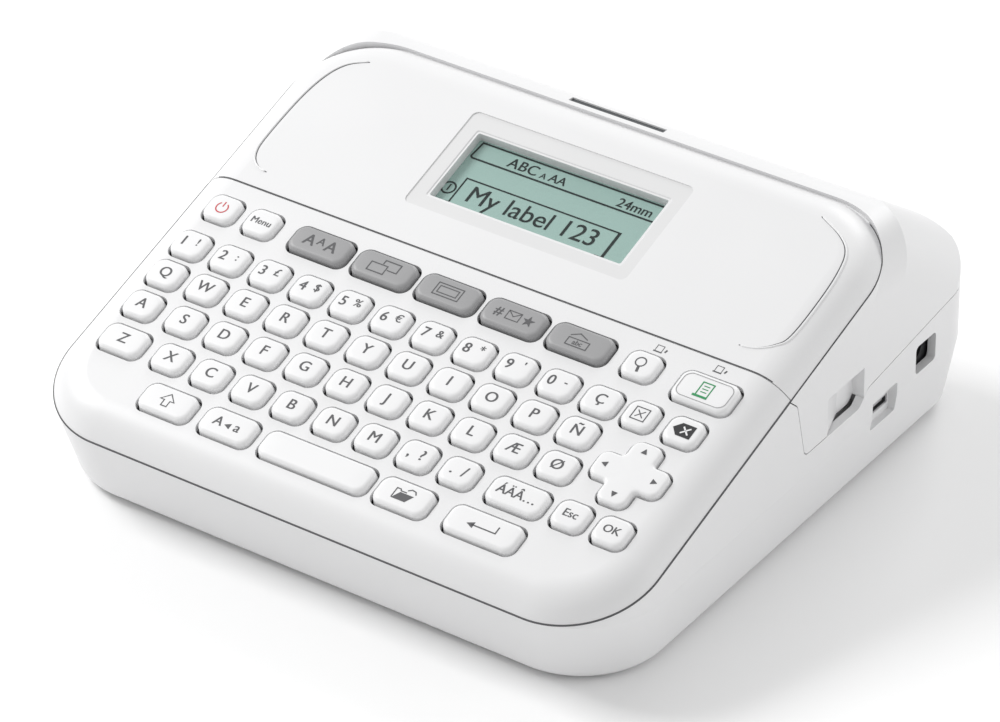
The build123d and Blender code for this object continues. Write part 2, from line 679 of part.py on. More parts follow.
# ---------------------------------------------------------------- write every piece
pieces = {
    "bottom_case": bottom_case, "keyboard_cover": keyboard_cover, "display_cover": display_cover,
    "rear_lid": rear_lid, "tape_window": tape_window, "hood_lining": hood_lining, "hinge_pins": hinge_pins,
    "rubber_feet": rubber_feet, "case_screws": case_screws, "screen_window": screen_window,
    "lcd_panel": lcd_panel, "lcd_board": lcd_board, "rubber_keypad": rubber_keypad,
    "keypad_board": keypad_board, "main_board": main_board, "dc_jack": dc_jack, "usb_socket": usb_socket,
    "jack_board": jack_board, "batteries": batteries, "battery_contacts": battery_contacts,
    "bay_tray": bay_tray, "print_chassis": print_chassis, "feed_motor": feed_motor,
    "motor_pinion": motor_pinion, "idler_gear": idler_gear, "platen_roller": platen_roller,
    "platen_gear": platen_gear, "ribbon_spindle": ribbon_spindle, "roller_holder": roller_holder,
    "print_head": print_head, "head_heatsink": head_heatsink, "tape_cassette": tape_cassette,
    "cutter_lever": cutter_lever, "cutter_blade": cutter_blade, "fixed_blade": fixed_blade,
    "cutter_pin": cutter_pin, "cursor_key": cursor_key,
}

os.makedirs("parts", exist_ok=True)
for name, make in pieces.items():
    export_step(make(), f"parts/{name}.step")
for name, spot in single_keys.items():
    export_step(plain_key(*spot), f"parts/{name}.step")
for name, row in key_rows.items():
    export_step(Compound(children=[plain_key(*spot) for spot in row]), f"parts/{name}.step")
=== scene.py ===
# Label maker: housing, keyboard, display, hinged hood and everything inside it.
import bpy
import numpy as np
from mathutils import Matrix, Vector
from mathutils.bvhtree import BVHTree
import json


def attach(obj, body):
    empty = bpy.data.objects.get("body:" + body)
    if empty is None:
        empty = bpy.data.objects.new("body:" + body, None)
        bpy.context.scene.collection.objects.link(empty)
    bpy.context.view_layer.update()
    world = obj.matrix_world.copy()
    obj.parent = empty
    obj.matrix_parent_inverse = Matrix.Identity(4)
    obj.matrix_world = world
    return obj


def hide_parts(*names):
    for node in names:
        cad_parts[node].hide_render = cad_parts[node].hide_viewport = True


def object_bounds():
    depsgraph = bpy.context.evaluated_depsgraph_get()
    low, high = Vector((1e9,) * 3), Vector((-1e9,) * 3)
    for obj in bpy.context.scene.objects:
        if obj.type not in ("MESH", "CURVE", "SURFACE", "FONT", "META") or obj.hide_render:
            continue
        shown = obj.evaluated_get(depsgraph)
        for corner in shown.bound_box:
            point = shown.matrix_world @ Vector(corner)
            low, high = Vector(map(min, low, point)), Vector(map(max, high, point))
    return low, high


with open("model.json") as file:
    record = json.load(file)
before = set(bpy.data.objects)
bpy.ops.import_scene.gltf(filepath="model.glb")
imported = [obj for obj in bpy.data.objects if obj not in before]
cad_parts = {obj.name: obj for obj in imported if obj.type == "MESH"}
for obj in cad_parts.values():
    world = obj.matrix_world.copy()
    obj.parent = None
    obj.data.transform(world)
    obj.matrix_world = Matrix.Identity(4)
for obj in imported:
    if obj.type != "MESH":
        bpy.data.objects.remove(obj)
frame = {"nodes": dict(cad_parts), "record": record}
cad_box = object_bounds()
mm = 0.001


# ---------------------------------------------------------------- camera
# A long lens looks down on the keyboard from the front right, with a slight tilt of the head.
azimuth, elevation, roll = np.radians([35.68, 33.66, -0.89])
camera_distance = 1382.8 * mm
aim_right, aim_up = -0.64 * mm, 19.7 * mm
back = np.array([np.sin(azimuth) * np.cos(elevation), -np.cos(azimuth) * np.cos(elevation),
                 np.sin(elevation)])
level = np.array([np.cos(azimuth), np.sin(azimuth), 0.0])
upright = np.cross(back, level)
right = np.cos(roll) * level + np.sin(roll) * upright
up = np.cos(roll) * upright - np.sin(roll) * level
place = aim_right * right + aim_up * up + camera_distance * back
turned = Matrix(np.column_stack([right, up, back]).tolist()).to_4x4()
lens = bpy.data.cameras.new("camera")
lens.sensor_width = 36.0
lens.lens = 184.79
lens.clip_start, lens.clip_end = 0.1, 20.0
camera = bpy.data.objects.new("camera", lens)
camera.matrix_world = Matrix.Translation(Vector(place)) @ turned
bpy.context.scene.collection.objects.link(camera)
bpy.context.scene.camera = camera


# ---------------------------------------------------------------- shader wiring
# Every finish below is written as sums and products of sockets through this one class.
bump_depth = 0.1 * mm


class Wire:
    """One socket of a material: arithmetic on it adds Math nodes, node() adds any other node."""

    def __init__(self, tree, socket=None):
        self.tree, self.socket = tree, socket

    def node(self, kind, settings=None, inputs=None, output=0):
        """A node of the given type, with its settings set first, then its sockets; gives one output."""
        made = self.tree.nodes.new("ShaderNode" + kind)
        for name, value in (settings or {}).items():
            setattr(made, name, value)
        for name, value in (inputs or {}).items():
            if isinstance(value, Wire):
                self.tree.links.new(value.socket, made.inputs[name])
            else:
                made.inputs[name].default_value = value
        return Wire(self.tree, made.outputs[output])

    def maths(self, operation, first, second=0.0):
        """A Math node of the given operation on two values or sockets."""
        return self.node("Math", {"operation": operation}, {0: first, 1: second})

    def __add__(self, other):
        return self.maths("ADD", self, other)

    def __mul__(self, other):
        return self.maths("MULTIPLY", self, other)

    def above(self, level):
        """1 where this value is over the level, and 0 elsewhere."""
        return self.maths("GREATER_THAN", self, level)

    def mix(self, low, high):
        """The colour low where this value is 0, and high where it is 1."""
        colours = {6: (*low, 1.0) if isinstance(low, tuple) else low,
                   7: (*high, 1.0) if isinstance(high, tuple) else high}
        return self.node("Mix", {"data_type": "RGBA"}, {0: self, **colours}, output=2)


def finish(name, paint, constants=None):
    """A material whose Principled sockets come from paint(wire), with constants on the shader itself."""
    material = bpy.data.materials.new(name)
    material.use_nodes = True
    tree = material.node_tree
    tree.nodes.clear()
    wire = Wire(tree)
    sockets = {**paint(wire), **(constants or {})}
    shader = wire.node("BsdfPrincipled", None, sockets)
    tree.links.new(shader.socket, tree.nodes.new("ShaderNodeOutputMaterial").inputs[0])
    return material


def speckle(wire, per_mm, detail=2.0, stretch=(1, 1, 1)):
    """Noise of the given grain, read in the object's own space and stretched along its axes."""
    spot = wire.node("TexCoord", output=3)
    scaled = wire.node("Mapping", None, {0: spot, 3: stretch})
    return wire.node("TexNoise", None, {"Vector": scaled, "Scale": per_mm / mm, "Detail": detail})


def moulded(tint, shade, roughness, grain=2.2, relief=0.05):
    """Paint of a moulded plastic: two close tints in soft clouds, and a fine spark-eroded grain."""
    def paint(wire):
        clouds = speckle(wire, 0.03, 3.0)
        skin = speckle(wire, grain, 1.0)
        bump = wire.node("Bump", None, {"Height": skin, "Strength": relief, "Distance": bump_depth})
        satin = clouds * 0.08 + skin * 0.05 + roughness
        return {"Base Color": clouds.mix(shade, tint), "Roughness": satin, "Normal": bump}
    return paint


def brushed(tint, shade, roughness, stretch):
    """Paint of a metal with a drawn grain: noise pulled out along one axis."""
    def paint(wire):
        grain = speckle(wire, 1.2, 3.0, stretch)
        bump = wire.node("Bump", None, {"Height": grain, "Strength": 0.12, "Distance": bump_depth})
        return {"Base Color": grain.mix(shade, tint), "Roughness": grain * 0.2 + roughness, "Normal": bump}
    return paint


def dress(material, *nodes):
    """Gives CAD nodes their finish, in place of any they came with."""
    for name in nodes:
        skin = frame["nodes"][name]
        skin.data.materials.clear()
        skin.data.materials.append(material)


# ---------------------------------------------------------------- floor and light
# A pale table top under a bright soft room, with a large lamp at the upper left and two weaker ones
# behind and at the right.  The plain view transform keeps the white plastic white.
reach = 4.0
table = bpy.data.meshes.new("table")
corners = [(-reach, -reach, 0), (reach, -reach, 0), (reach, reach, 0), (-reach, reach, 0)]
table.from_pydata(corners, [], [(0, 1, 2, 3)])
floor = bpy.data.objects.new("table", table)
floor.data.materials.append(finish("table_top", lambda wire: {
    "Base Color": speckle(wire, 0.01).mix((0.93, 0.93, 0.93), (0.95, 0.95, 0.95)), "Roughness": 0.9}))
bpy.context.scene.collection.objects.link(floor)

room = bpy.data.worlds.new("room")
room.use_nodes = True
room.node_tree.nodes["Background"].inputs[0].default_value = (1.0, 1.0, 1.0, 1.0)
room.node_tree.nodes["Background"].inputs[1].default_value = 0.6
bpy.context.scene.world = room
bpy.context.scene.view_settings.view_transform = "Standard"


def lamp(name, spot, size, power):
    """A square soft lamp at spot, turned to the middle of the object."""
    light = bpy.data.lights.new(name, "AREA")
    light.size, light.energy = size, power
    holder = bpy.data.objects.new(name, light)
    turn = Vector(spot).to_track_quat("Z", "Y").to_matrix().to_4x4()
    holder.matrix_world = Matrix.Translation(Vector(spot)) @ turn
    bpy.context.scene.collection.objects.link(holder)


lamp("window", (-1.3, -0.2, 1.2), 0.7, 20.0)
lamp("back_window", (-0.2, 1.5, 1.0), 0.7, 8.0)
lamp("side_wall", (1.5, 0.7, 0.7), 1.2, 5.0)


# ---------------------------------------------------------------- housing
# Four injection-moulded shells in white ABS with a fine satin texture: the case, the keyboard
# cover, the display cover and the rear lid.  The case is screwed from below.
white = finish("white_abs", moulded((0.80, 0.80, 0.805), (0.775, 0.775, 0.78), 0.33), {"IOR": 1.5})
dress(white, "bottom_case", "keyboard_cover", "display_cover", "rear_lid")


# ---------------------------------------------------------------- moulded parts inside
# Injection-moulded and rubber parts, each as tint, shade, roughness, grain and relief: the smoked
# window, the grey-white tray and lining, black nylon, acetal gears, rubber, cassette and keypad.
moulded_parts = {
    "window_smoke": (((0.10, 0.105, 0.11), (0.07, 0.075, 0.08), 0.15), ["tape_window"]),
    "inner_abs": (((0.70, 0.70, 0.70), (0.66, 0.66, 0.67), 0.45),
                  ["hood_lining", "bay_tray", "roller_holder", "cutter_lever"]),
    "black_rubber": (((0.035, 0.035, 0.035), (0.02, 0.02, 0.02), 0.75, 3.0, 0.3),
                     ["rubber_feet", "platen_roller"]),
    "black_nylon": (((0.03, 0.03, 0.032), (0.018, 0.018, 0.02), 0.4), ["dc_jack", "print_head"]),
    "acetal": (((0.80, 0.78, 0.70), (0.74, 0.72, 0.63), 0.28),
               ["motor_pinion", "idler_gear", "platen_gear", "ribbon_spindle"]),
    "cassette_grey": (((0.10, 0.105, 0.11), (0.08, 0.083, 0.088), 0.42, 1.5, 0.2), ["tape_cassette"]),
    "silicone": (((0.55, 0.56, 0.58), (0.5, 0.51, 0.53), 0.6), ["rubber_keypad"]),
}
for name, (look, nodes) in moulded_parts.items():
    dress(finish(name, moulded(*look)), *nodes)


# ---------------------------------------------------------------- metal parts inside
# Drawn, pressed and extruded metal, each as tint, shade, roughness and the stretch of its grain:
# pins, screws, blades and cans in steel, the chassis in sheet, the heatsink and the cell contacts.
metal_parts = {
    "drawn_steel": (((0.62, 0.62, 0.63), (0.45, 0.45, 0.46), 0.25, (1, 1, 12)),
                    ["hinge_pins", "case_screws", "usb_socket", "feed_motor", "cutter_pin",
                     "cutter_blade", "fixed_blade"]),
    "sheet_steel": (((0.66, 0.67, 0.68), (0.5, 0.5, 0.52), 0.3, (1, 14, 1)), ["print_chassis"]),
    "anodised": (((0.72, 0.73, 0.75), (0.6, 0.6, 0.62), 0.35, (1, 10, 1)), ["head_heatsink"]),
    "nickel": (((0.78, 0.76, 0.72), (0.6, 0.58, 0.55), 0.18, (1, 6, 1)), ["battery_contacts"]),
}
for name, (look, nodes) in metal_parts.items():
    dress(finish(name, brushed(*look), {"Metallic": 1.0}), *nodes)


# ---------------------------------------------------------------- circuit boards
# Glass-fibre boards under a green mask: the main board, and those of the jack, keypad and display.
# Each is screwed or clipped to the shell it serves.


def solder_mask(wire):
    """Green board: fine copper tracks under the mask, from a brick pattern's joints."""
    spot = wire.node("TexCoord", output=3)
    layout = {"Vector": spot, "Scale": 130.0, "Mortar Size": 0.09, "Brick Width": 0.7, "Row Height": 0.16}
    tracks = wire.node("TexBrick", {"offset": 0.37, "squash": 1.4}, layout, output=1)
    tint = speckle(wire, 0.1)
    bump = wire.node("Bump", None, {"Height": tracks, "Strength": 0.2, "Distance": bump_depth})
    colour = tracks.mix((0.015, 0.16, 0.065), (0.05, 0.30, 0.12))
    return {"Base Color": colour, "Roughness": tint * 0.1 + 0.28, "Normal": bump}


dress(finish("circuit_board", solder_mask), "main_board", "jack_board", "keypad_board", "lcd_board")


# ---------------------------------------------------------------- cells
# Six dry cells in printed sleeves, lying side by side across the bay between their contacts.
band_start, tip_start = 60.0 * mm, 73.8 * mm


def cell_sleeve(wire):
    """Dark up to the band, copper-coloured from there on, and bare metal from the tip on."""
    spot = wire.node("TexCoord", output=3)
    along = wire.node("SeparateXYZ", None, {0: spot})
    band = along.above(band_start)
    tip = along.above(tip_start)
    wear = speckle(wire, 0.4)
    colour = band.mix((0.03, 0.035, 0.045), (0.62, 0.30, 0.10))
    return {"Base Color": tip.mix(colour, (0.7, 0.7, 0.7)), "Roughness": wear * 0.15 + 0.22,
            "Metallic": tip}


dress(finish("cells", cell_sleeve), "batteries")


# ---------------------------------------------------------------- the sloped panel
# The keyboard and display covers share one sloped seam plane, which starts at the front wall.
# Places on it are (across, up the slope, height over the seam plane), in millimetres.
slope = np.radians(18.06)
seam_front = 21.5
front = cad_box[0][1] / mm
crown = 6.2
bodies = frame["record"]["behaviour"]["bodies"]
body_of = {node: body for body, nodes in bodies.items() for node in nodes}


def on_panel(u, v, h):
    """Metres from panel places: the seam line at the front, plus v along the slope and h square to it."""
    u, v, h = np.broadcast_arrays(np.asarray(u, float), np.asarray(v, float), np.asarray(h, float))
    y = front + v * np.cos(slope) - h * np.sin(slope)
    z = seam_front + v * np.sin(slope) + h * np.cos(slope)
    return np.stack([u, y, z], -1) * mm


def add_piece(name, points, faces, material, body, smooth=True):
    """A new mesh object at the origin that rides on a body."""
    mesh = bpy.data.meshes.new(name)
    mesh.from_pydata(np.asarray(points).reshape(-1, 3).tolist(), [], [tuple(f) for f in faces])
    mesh.polygons.foreach_set("use_smooth", [smooth] * len(mesh.polygons))
    mesh.materials.append(material)
    mesh.update()
    made = bpy.data.objects.new(name, mesh)
    bpy.context.scene.collection.objects.link(made)
    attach(made, body)
    return made


def ring_faces(rings, count):
    """Quads between neighbouring rings of a closed loft, and a triangle fan to a last centre point."""
    ring, step = np.meshgrid(np.arange(rings - 1), np.arange(count), indexing="ij")
    a = ring * count + step
    b = ring * count + (step + 1) % count
    quads = np.stack([a, b, b + count, a + count], -1).reshape(-1, 4)
    top = (rings - 1) * count
    fan = [(top + i, top + (i + 1) % count, rings * count) for i in range(count)]
    return quads.tolist() + fan


def rounded(width, depth, corner, count=40):
    """A rounded rectangle: a quarter circle about each corner's own centre, counter-clockwise."""
    turn = np.linspace(0, 2 * np.pi, count, endpoint=False) + np.pi / count
    x = np.sign(np.cos(turn)) * (width / 2 - corner) + corner * np.cos(turn)
    y = np.sign(np.sin(turn)) * (depth / 2 - corner) + corner * np.sin(turn)
    return x, y


# ---------------------------------------------------------------- keys
# Moulded ABS caps with drafted skirts, a soft top edge and a faint crown.  Five of them are grey,
# the rest white.  Each sits in its own opening over a silicone dome.
row_function, row_digits, row_q, row_a, row_z, row_bottom = 78.3, 64.0, 52.6, 40.9, 28.6, 15.9
pitch, key_depth, print_key_depth = 13.3, 9.6, 10.8
key_low, key_top, key_corner = 2.7, 7.7, 3.2
skirt_foot, top_inset, crown_drop = 1.0, 1.65, 0.06
plain_keys = {
    "power_key": (-79.4, row_function, 10.6), "menu_key": (-66.2, row_function, 10.6),
    "font_key": (-46.4, row_function, 19.2), "size_key": (-25.5, row_function, 19.2),
    "frame_key": (-4.6, row_function, 19.2), "symbol_key": (16.3, row_function, 19.2),
    "label_key": (37.2, row_function, 19.2), "search_key": (56.2, row_function, 10.6),
    "print_key": (76.2, 77.6, 18.0), "insert_key": (65.1, row_digits, 10.0),
    "backspace_key": (78.2, row_digits, 10.8), "accent_key": (50.5, row_z - 0.3, 17.6),
    "escape_key": (66.6, row_z + 0.2, 10.4), "ok_key": (79.0, row_z + 0.2, 10.4),
    "shift_key": (-52.6, row_bottom, 17.0), "caps_key": (-32.7, row_bottom, 17.0),
    "space_key": (-4.2, row_bottom, 35.0), "recall_key": (23.5, row_bottom, 17.0),
    "enter_key": (48.2, row_bottom, 22.5),
}
letter_rows = {
    "digit_keys": [(-80.0 + i * pitch, row_digits, 11.0) for i in range(11)],
    "upper_letter_keys": [(-80.0 + i * pitch, row_q, 11.0) for i in range(11)],
    "middle_letter_keys": [(-79.4, row_a, 11.0)] + [(-65.2 + i * pitch, row_a, 11.0) for i in range(10)],
    "lower_letter_keys": [(-76.7, row_z, 14.4)] + [(-60.8 + i * pitch, row_z, 11.0) for i in range(8)],
}
white_cap = finish("white_key", moulded((0.84, 0.84, 0.845), (0.81, 0.81, 0.815), 0.36, 3.0, 0.03))
grey_cap = finish("grey_key", moulded((0.345, 0.345, 0.35), (0.32, 0.32, 0.325), 0.38, 3.0, 0.03))
grey_names = ("font_key", "size_key", "frame_key", "symbol_key", "label_key")


def cap_side(draft, shoulder, inset, spread, fall, turns):
    """Insets and heights up a cap's side: a drafted skirt, then a quarter ellipse over its top edge."""
    skirt = [(0.0, key_low), (0.0, key_low + skirt_foot), (draft, key_top - shoulder)]
    return skirt + [(inset + spread * (1 - np.cos(turn)), key_top - fall * (1 - np.sin(turn)) - crown_drop)
                    for turn in turns]


def cap(u, v, width, depth):
    """Rounded rectangles drawn in as they rise, closed by a faint crown that shrinks to the middle."""
    rings = []
    for inset, height in cap_side(0.26, 1.9, 0.3, 1.35, 1.3, np.linspace(0.2, np.pi / 2, 7)):
        x, y = rounded(width - 2 * inset, depth - 2 * inset, key_corner - 0.6 * inset)
        rings.append(on_panel(u + x, v + y, height))
    x, y = rounded(width - 2 * top_inset, depth - 2 * top_inset, key_corner - 1.0)
    for shrink in (0.7, 0.35):
        rings.append(on_panel(u + x * shrink, v + y * shrink, key_top - crown_drop * shrink ** 2))
    points = np.concatenate([np.concatenate(rings), on_panel([u], [v], key_top)])
    return points, ring_faces(len(rings), len(x))


def join(parts):
    """Several meshes as one: their points in a row, and their faces counted on."""
    points, faces, first = [], [], 0
    for some, corners in parts:
        points.append(np.asarray(some))
        faces += [tuple(int(i) + first for i in face) for face in corners]
        first += len(some)
    return np.concatenate(points), faces


def key_piece(node, caps, material):
    """The caps of one key body as one piece, which stands in for its CAD node."""
    made = add_piece(node.replace("_key", "_cap"), *join(caps), material, body_of[node])
    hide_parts(node)
    "grey_keys" if node in grey_names else "white_keys"


for node, (u, v, width) in plain_keys.items():
    depth = print_key_depth if node == "print_key" else key_depth
    key_piece(node, [cap(u, v, width, depth)], grey_cap if node in grey_names else white_cap)
for node, row in letter_rows.items():
    key_piece(node, [cap(u, v, width, key_depth) for u, v, width in row], white_cap)


# ---------------------------------------------------------------- four-way key
# One cross-shaped cap with rounded arms, moulded in the same white ABS as the keys, over domes of
# the silicone keypad.
cursor_u, cursor_v, cursor_reach, cursor_arm = 73.0, 46.4, 10.8, 9.4


def cross_outline(reach, arm, tip, heel, count=10):
    """A cross of equal arms: each arm's tip corners are rounded out and the four inner corners in."""
    half = arm / 2
    bends = (((reach - tip, half - tip), tip, 0.0, 1),
             ((half + heel, half + heel), heel, -0.5, -1),
             ((half - tip, reach - tip), tip, 0.0, 1))
    quarter = []
    for centre, radius, start, sweep in bends:
        turn = np.pi * (start + sweep * np.linspace(0, 0.5, count))
        quarter.append(np.stack([centre[0] + radius * np.cos(turn), centre[1] + radius * np.sin(turn)], -1))
    quarter = np.concatenate(quarter)
    turns = [np.array([[np.cos(q), np.sin(q)], [-np.sin(q), np.cos(q)]]) for q in np.arange(4) * np.pi / 2]
    return np.concatenate([quarter @ turn for turn in turns])


def cross_cap():
    """The cross drawn in as it rises, closed by a crown that shrinks to the middle."""
    rings = []
    for inset, height in cap_side(0.28, 1.6, 0.34, 0.95, 0.95, np.linspace(0.25, np.pi / 2, 5)):
        x, y = cross_outline(cursor_reach - inset, cursor_arm - 2 * inset, 2.8 - 0.6 * inset,
                             1.2 + 0.5 * inset).T
        rings.append(on_panel(cursor_u + x, cursor_v + y, height))
    for shrink in (0.8, 0.6, 0.4, 0.2):
        rings.append(on_panel(cursor_u + x * shrink, cursor_v + y * shrink, key_top - crown_drop * shrink))
    points = np.concatenate([np.concatenate(rings), on_panel([cursor_u], [cursor_v], key_top)])
    return points, ring_faces(len(rings), len(x))


key_piece("cursor_key", [cross_cap()], white_cap)


# ---------------------------------------------------------------- printed legends
# Dark grey pad-printed letters and signs on the caps; the power sign is red and the print sign green.
ink = finish("grey_ink", moulded((0.10, 0.10, 0.105), (0.08, 0.08, 0.085), 0.5))
dark_ink = finish("dark_ink", moulded((0.02, 0.02, 0.022), (0.015, 0.015, 0.017), 0.5))
red_ink = finish("red_ink", moulded((0.62, 0.04, 0.05), (0.52, 0.03, 0.04), 0.5))
green_ink = finish("green_ink", moulded((0.02, 0.30, 0.10), (0.015, 0.25, 0.08), 0.5))
print_height, overprint_lift = 0.03, 0.004
over_cap = key_top + print_height
letter_size, digit_size, sign_size = 4.6, 4.5, 3.5


def lettering(text, size, u, v, height, spread=1.0, weight=0.017):
    """Text as a flat mesh centred at (u, v), printed twice a hair apart to thicken its strokes."""
    curve = bpy.data.curves.new("lettering", "FONT")
    curve.body, curve.size, curve.align_x, curve.align_y = text, size, "CENTER", "CENTER"
    curve.space_character = spread
    holder = bpy.data.objects.new("lettering", curve)
    mesh = bpy.data.meshes.new_from_object(holder)
    flat = np.empty(len(mesh.vertices) * 3)
    mesh.vertices.foreach_get("co", flat)
    flat = flat.reshape(-1, 3)
    faces = [tuple(p.vertices) for p in mesh.polygons]
    bpy.data.objects.remove(holder)
    bpy.data.curves.remove(curve)
    bpy.data.meshes.remove(mesh)
    shift = weight * size
    under = on_panel(u + flat[:, 0] - shift, v + flat[:, 1], height)
    over = on_panel(u + flat[:, 0] + shift, v + flat[:, 1] + shift * 0.5, height + overprint_lift)
    return join([(under, faces), (over, faces)])


def stroke(points, width, u, v, height, closed=False):
    """A line of even width through the points: each is moved half a width to either side."""
    line = np.asarray(points, float)
    ahead = np.roll(line, -1, 0) - line
    behind = line - np.roll(line, 1, 0)
    if not closed:
        ahead[-1], behind[0] = behind[-1], ahead[0]
    ahead /= np.linalg.norm(ahead, axis=1)[:, None]
    behind /= np.linalg.norm(behind, axis=1)[:, None]
    way = ahead + behind
    way /= np.linalg.norm(way, axis=1)[:, None]
    side = np.stack([-way[:, 1], way[:, 0]], -1)
    side *= (width / 2 / np.clip(np.sum(way * ahead, 1), 0.5, 1))[:, None]
    both = np.concatenate([line + side, line - side])
    n = len(line)
    faces = [(i, i + n, (i + 1) % n + n, (i + 1) % n) for i in range(n if closed else n - 1)]
    return on_panel(u + both[:, 0], v + both[:, 1], height), faces


def filled(points, u, v, height):
    """A flat filled shape, given counter-clockwise."""
    shape = np.asarray(points, float)
    return on_panel(u + shape[:, 0], v + shape[:, 1], height), [tuple(range(len(shape)))]


def arc(radius, start, end, count=20):
    """Points on a circle about the origin, between two angles in degrees."""
    turn = np.radians(np.linspace(start, end, count))
    return np.stack([radius * np.cos(turn), radius * np.sin(turn)], -1)


def legend(node, parts, material=ink, suffix="print"):
    """The marks printed on one key body, as one piece that moves with it."""
    made = add_piece(f"{node}_{suffix}", *join(parts), material, body_of[node], smooth=False)


parts = []
for (u, v, _), digit, sign in zip(letter_rows["digit_keys"], "1234567890", "!:£$%€&*'-"):
    parts.append(lettering(digit, digit_size, u - 2.1, v + 0.1, over_cap))
    parts.append(lettering(sign, sign_size, u + 2.1, v + 0.9, over_cap))
u, v, _ = letter_rows["digit_keys"][10]
parts.append(lettering("Ç", digit_size, u, v, over_cap))
legend("digit_keys", parts)
letters = {"upper_letter_keys": "QWERTYUIOPÑ", "middle_letter_keys": "ASDFGHJKLÆØ",
           "lower_letter_keys": ["Z", "X", "C", "V", "B", "N", "M", ",  ?", ".  /"]}
for node, row in letters.items():
    legend(node, [lettering(letter, letter_size, u, v, over_cap)
                  for (u, v, _), letter in zip(letter_rows[node], row)])

words = {"menu_key": ("Menu", 2.9), "escape_key": ("Esc", 3.4), "ok_key": ("OK", 3.4),
         "accent_key": ("ÁÄÂ…", 4.0)}
for node, (word, size) in words.items():
    u, v, _ = plain_keys[node]
    legend(node, [lettering(word, size, u, v, over_cap)])
u, v, _ = plain_keys["caps_key"]
arrow = [(-1.0, 0), (0.9, -0.95), (0.9, 0.95)]
legend("caps_key", [lettering("A", 4.2, u - 3.0, v, over_cap), lettering("a", 4.2, u + 3.1, v, over_cap),
                    filled(arrow, u + 0.1, v - 0.3, over_cap)])
u, v, _ = plain_keys["shift_key"]
arrow = [(-0.9, -1.9), (0.9, -1.9), (0.9, 0), (2.2, 0), (0, 2.2), (-2.2, 0), (-0.9, 0)]
legend("shift_key", [stroke(arrow, 0.32, u, v, over_cap, closed=True)])
u, v, _ = plain_keys["recall_key"]
legend("recall_key", [
    filled([(-2.6, -1.7), (1.6, -1.7), (3.0, 0.7), (-1.2, 0.7)], u, v - 0.2, over_cap),
    stroke([(-2.7, -1.6), (-2.7, 1.6), (-1.6, 1.6), (-1.2, 1.1), (0.6, 1.1)], 0.34, u, v - 0.2, over_cap),
    stroke([(0.4, 1.8), (1.4, 2.5), (2.6, 2.3), (3.2, 1.4)], 0.34, u, v - 0.2, over_cap)])
u, v, _ = plain_keys["enter_key"]
legend("enter_key", [stroke([(4.2, 1.6), (4.2, -0.6), (-3.0, -0.6)], 0.38, u, v, over_cap),
                     filled([(-4.6, -0.6), (-2.4, -1.6), (-2.4, 0.4)], u, v, over_cap)])
u, v, _ = plain_keys["power_key"]
legend("power_key", [stroke(arc(1.75, -235, 55), 0.36, u, v - 0.1, over_cap),
                     stroke([(0, 0.3), (0, 2.1)], 0.36, u, v - 0.1, over_cap)], red_ink)
u, v, _ = plain_keys["search_key"]
legend("search_key", [stroke(arc(1.45, 0, 342), 0.38, u - 0.4, v + 0.6, over_cap, closed=True),
                      stroke([(0.2, -1.5), (0.6, -3.3)], 0.75, u - 0.4, v + 0.6, over_cap)])
u, v, _ = plain_keys["insert_key"]
legend("insert_key", [stroke([(-2, -2), (2, -2), (2, 2), (-2, 2)], 0.3, u, v, over_cap, closed=True),
                      stroke([(-1.1, -1.1), (1.1, 1.1)], 0.3, u, v, over_cap),
                      stroke([(-1.1, 1.1), (1.1, -1.1)], 0.3, u, v, over_cap)])
u, v, _ = plain_keys["backspace_key"]
flag = [(-3.1, 0), (-1.2, -2.1), (2.9, -2.1), (2.9, 2.1), (-1.2, 2.1)]
legend("backspace_key", [filled(flag, u, v, over_cap)], dark_ink)
over_ink = over_cap + 0.02
legend("backspace_key", [stroke([(-0.4, -1.1), (1.8, 1.1)], 0.45, u, v, over_ink),
                         stroke([(-0.4, 1.1), (1.8, -1.1)], 0.45, u, v, over_ink)], white_cap, "cross")
u, v, width = plain_keys["print_key"]
page = [(-1.7, -2.3), (1.7, -2.3), (1.7, 2.3), (-1.7, 2.3)]
legend("print_key", [stroke(page, 0.36, u, v, over_cap, closed=True)]
       + [stroke([(-2.5, -2.3), (1.9, -2.3)], 0.7, u, v, over_cap + 0.005)]
       + [stroke([(-0.9, y), (0.9, y)], 0.3, u, v, over_cap) for y in (1.2, 0.2, -0.8)], green_ink)
ring_inset = 1.6
ring = rounded(width - 2 * ring_inset, print_key_depth - 2 * ring_inset, key_corner - 0.9)
legend("print_key", [stroke(np.stack(ring, -1), 0.2, u, v, over_cap - 0.01, closed=True)], grey_cap, "ring")

# The five grey keys: letter styles, sizes as two sheets, a frame, signs, and a stack of labels.
u, v, _ = plain_keys["font_key"]
legend("font_key", [lettering("A", 5.2, u - 3.5, v, over_cap), lettering("A", 5.2, u + 3.5, v, over_cap),
                    lettering("A", 3.6, u, v + 0.6, over_cap)])
u, v, _ = plain_keys["size_key"]
near_sheet = [(-4.3, -2.2), (0.9, -2.2), (0.9, 0.7), (-4.3, 0.7)]
far_sheet = [(-0.8, 1.0), (-0.8, 2.4), (4.3, 2.4), (4.3, -0.5), (1.3, -0.5)]
legend("size_key", [stroke(near_sheet, 0.34, u, v, over_cap, closed=True),
                    stroke(far_sheet, 0.34, u, v, over_cap)])
u, v, _ = plain_keys["frame_key"]
legend("frame_key", [stroke([(-4, -2), (4, -2), (4, 2), (-4, 2)], 0.3, u, v, over_cap, closed=True),
                     stroke([(-3, -1.1), (3, -1.1), (3, 1.1), (-3, 1.1)], 0.3, u, v, over_cap, closed=True)])
u, v, _ = plain_keys["symbol_key"]
star = [(r * np.sin(t), r * np.cos(t)) for r, t in zip([1.9, 0.75] * 5, -np.arange(10) * np.pi / 5)]
envelope, envelope_flap = [(-2, -1.4), (2, -1.4), (2, 1.4), (-2, 1.4)], [(-2, 1.4), (0, -0.2), (2, 1.4)]
